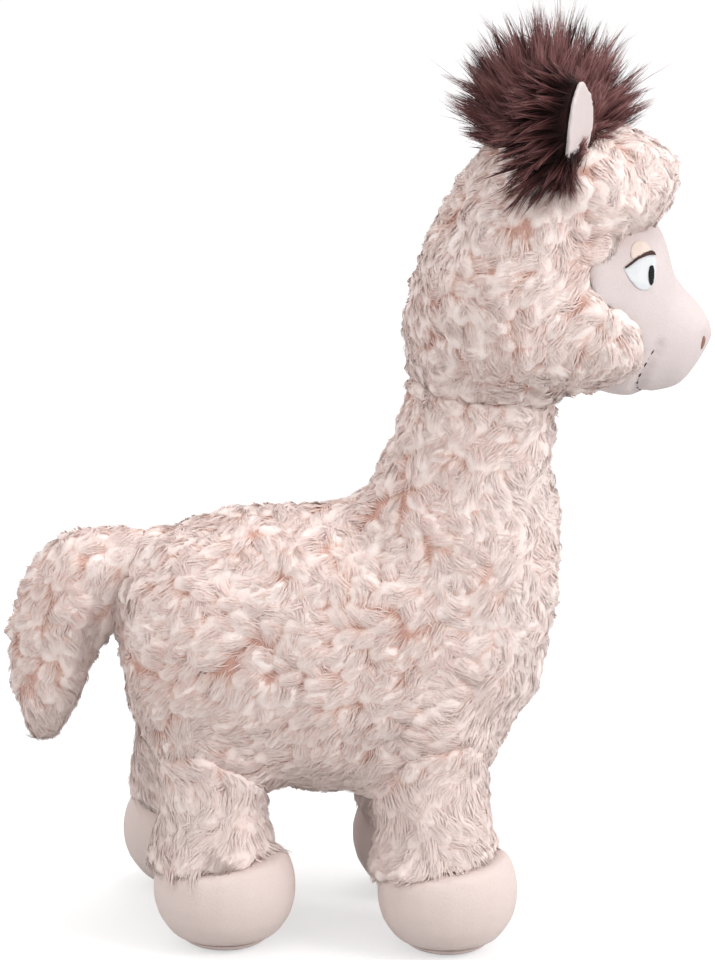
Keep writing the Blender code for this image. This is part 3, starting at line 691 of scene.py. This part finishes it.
for side, sign in (("right", -1), ("left", 1)):
    lining = even_copy("ear_lining_" + side, "ear_lining_" + side + "_velour", voxel=0.001, smoothing=8)
    dress(lining, "ear_lining_" + side, face_velour)
    back = even_copy("ear_fur_" + side, "ear_" + side + "_backing", voxel=0.0017, smoothing=8)
    dress(back, "ear_fur_" + side, shaded_hair_cloth)

    root, up = scatter(back, EAR_TUFT_SPACING)
    front = tree_of(lining)
    clear = [not inside(front, Vector(p)) for p in root + up * 0.002]
    behind = np.array(clear) & (up[:, 0] < 0.45)
    root, up = root[behind], up[behind]
    share = np.clip((root[:, 2] - EAR_LOW) / EAR_HEIGHT, 0, 1)
    flow = np.stack([-0.95 + 0.15 * share, 0.12 * sign + 0 * share, -0.55 + 0.8 * share], 1)
    ahead = unit(0.45 * up + flow + rng.normal(0, 0.14, up.shape))
    length = rng.uniform(0.017, 0.028, len(root)) * (1 - 0.35 * share)

    low, low_up = scatter(lining, EAR_FOOT_SPACING)
    foot = low[:, 2] < low[:, 2].min() + EAR_FOOT
    low, low_up = low[foot], low_up[foot]
    brushed = np.array([-0.75, 0.1 * sign, -0.65])
    down = brushed - low_up * (low_up @ brushed)[:, None]
    down = unit(down + 0.25 * low_up + rng.normal(0, 0.14, low_up.shape))
    root, up = np.concatenate([root, low]), np.concatenate([up, low_up])
    ahead = np.concatenate([ahead, down])
    length = np.concatenate([length, rng.uniform(0.009, 0.017, len(low))])
    outward = unit(up + 0.3 * np.concatenate([flow, down]))
    grow_hair("ear_" + side + "_pile", root, ahead, length, outward, EAR_STRANDS, EAR_SPREAD)


# Eyes: embroidered by machine on the face. A white field of satin stitch has a beige lid above it, a black
# pupil towards the nose and a dark brown line of stitches along the lid. A patch's threads lie side by side.

THREAD_FINENESS = 520.0
PATCH_DEPTH = 0.0006  # how far the white and the lid sink into the velour
PUPIL_DEPTH = 0.0009
LASH_DEPTH = 0.0008


def thread_finish(name, dark, light, turn, relief=0.7):
    """Satin stitch in one colour, whose threads lie turned from the vertical by turn."""
    thread = Finish(name, roughness=0.45, sheen=0.05, specular=0.2)
    turned = thread.node("ShaderNodeMapping", sockets={0: thread.place(), 2: (0, turn, 0)})
    waver = {"Distortion": 2.0, "Detail": 2.0, "Detail Scale": 1.5}
    sockets = {"Vector": turned, "Scale": THREAD_FINENESS, **waver}
    rows = thread.node("ShaderNodeTexWave", {"bands_direction": "X"}, sockets, output=1)
    shades = thread.noise(700.0, vector=turned)
    thread.colour(thread.blend(rows * 0.6 + shades * 0.4, rgba(*dark), rgba(*light)))
    thread.bump(rows, strength=relief, distance=0.0003)
    return thread


def stitched(node, finish, sunk, voxel=0.00045, smoothing=5):
    """The threads of one patch, sunk into the pile of the face."""
    patch = even_copy(node, node + "_threads", voxel, smoothing)
    points, _, _ = corners(patch)
    below = [face_cloth.find_nearest(Vector(p))[1] for p in points]
    move_points(patch, points - np.array(below) * sunk)
    dress(patch, node, finish)


face_cloth = tree_of(skins["face"])
white_thread = thread_finish("white_thread", (204, 205, 207), (214, 216, 218), turn=0.2, relief=0.25)
lid_thread = thread_finish("lid_thread", (218, 200, 188), (230, 215, 205), turn=0.9, relief=0.35)
black_thread = thread_finish("black_thread", (5, 4, 5), (18, 16, 18), turn=1.3)
brown_thread = thread_finish("brown_thread", (44, 24, 20), (86, 56, 48), turn=0.7)
for side in ("right", "left"):
    stitched("eye_white_" + side, white_thread, PATCH_DEPTH)
    stitched("eyelid_" + side, lid_thread, PATCH_DEPTH)
    stitched("eye_pupil_" + side, black_thread, PUPIL_DEPTH, voxel=0.00035)
    stitched("eye_lash_" + side, brown_thread, LASH_DEPTH, voxel=0.0003, smoothing=3)


# Mouth and nostrils: dark brown stitches pulled into the velour from one corner of the mouth to the other,
# under the muzzle, and a short pinched stitch for each nostril, whose browner rose is painted shade of the
# fold.

MOUTH_CREASE = 0.0022  # how far each pulls the velour in
NOSTRIL_CREASE = 0.001
CREASE_REACH = 0.0031
MOUTH_DEPTH = 0.00095 + 0.97 * MOUTH_CREASE
NOSTRIL_DEPTH = 0.0007 + NOSTRIL_CREASE


def crease(node, depth):
    """Pulls the face's cloth in around stitches."""
    face = skins["face"]
    stitches = finder(corners(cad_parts[node])[0])
    points, normals, _ = corners(face)
    far = np.array([stitches.find(p)[2] for p in points.tolist()])
    pull = depth * np.exp(-((far / CREASE_REACH) ** 2))
    move_points(face, points - normals * pull[:, None])


# Painted shade: the nostril stitch is a browner rose for the shadow in the fold it pinches.
nose_thread = thread_finish("nose_thread", (128, 88, 76), (172, 128, 114), turn=0.4)
stitched("mouth_stitching", brown_thread, MOUTH_DEPTH, voxel=0.0003, smoothing=3)
crease("mouth_stitching", MOUTH_CREASE)
for side in ("right", "left"):
    node = "nostril_" + side
    stitched(node, nose_thread, NOSTRIL_DEPTH, voxel=0.0003, smoothing=4)
    crease(node, NOSTRIL_CREASE)


# Studio: a pale floor that fades into the room, three soft lamps and a white room.
# The camera looks at the toy's right side from a little above.

floor_finish = Finish("floor", roughness=0.9, specular=0.0)
floor_finish.colour((0.55, 0.55, 0.55, 1))
lit = floor_finish.node("ShaderNodeLightPath") * 0.54
floor_finish.feed(floor_finish.shader.inputs["Emission Color"], lit)
floor_finish.shader.inputs["Emission Strength"].default_value = 1.0
bpy.ops.object.select_all(action="DESELECT")
bpy.ops.mesh.primitive_plane_add(size=8)
floor = bpy.context.active_object
floor.name = "floor"
floor.data.materials.append(floor_finish.material)

world = bpy.data.worlds.new("studio")
bpy.context.scene.world = world
world.use_nodes = True
nodes, links = world.node_tree.nodes, world.node_tree.links
room = nodes["Background"]
room.inputs["Color"].default_value = (1, 1, 1, 1)
room.inputs["Strength"].default_value = 0.9
white = nodes.new("ShaderNodeBackground")
white.inputs["Color"].default_value = (1, 1, 1, 1)
white.inputs["Strength"].default_value = 1.0
path = nodes.new("ShaderNodeLightPath")
seen = nodes.new("ShaderNodeMixShader")
links.new(path.outputs["Is Camera Ray"], seen.inputs[0])
links.new(room.outputs[0], seen.inputs[1])
links.new(white.outputs[0], seen.inputs[2])
links.new(seen.outputs[0], nodes["World Output"].inputs["Surface"])


def lamp(name, place, size, power):
    light = bpy.data.lights.new(name, "AREA")
    light.shape = "DISK"
    light.size = size
    light.energy = power
    obj = bpy.data.objects.new(name, light)
    obj.location = place
    obj.rotation_euler = (Vector((0, 0, 0.2)) - Vector(place)).to_track_quat("-Z", "Y").to_euler()
    bpy.context.scene.collection.objects.link(obj)


lamp("key", (1.6, -0.85, 1.15), 1.0, 21)
lamp("fill", (-1.5, -1.0, 0.9), 1.2, 4)
lamp("top", (0.3, 0.2, 1.8), 1.0, 9)

ELEVATION = math.radians(14)
DISTANCE = 1.6
AIM = Vector((0, 0, 0.213))
camera = bpy.data.objects.new("camera", bpy.data.cameras.new("camera"))
camera.data.lens = 130.4
camera.location = AIM + Vector((0, -math.cos(ELEVATION), math.sin(ELEVATION))) * DISTANCE
camera.rotation_euler = (math.radians(90) - ELEVATION, 0, 0)
camera.data.clip_start = 0.05
bpy.context.scene.collection.objects.link(camera)
bpy.context.scene.camera = camera
bpy.context.scene.view_settings.view_transform = "Standard"
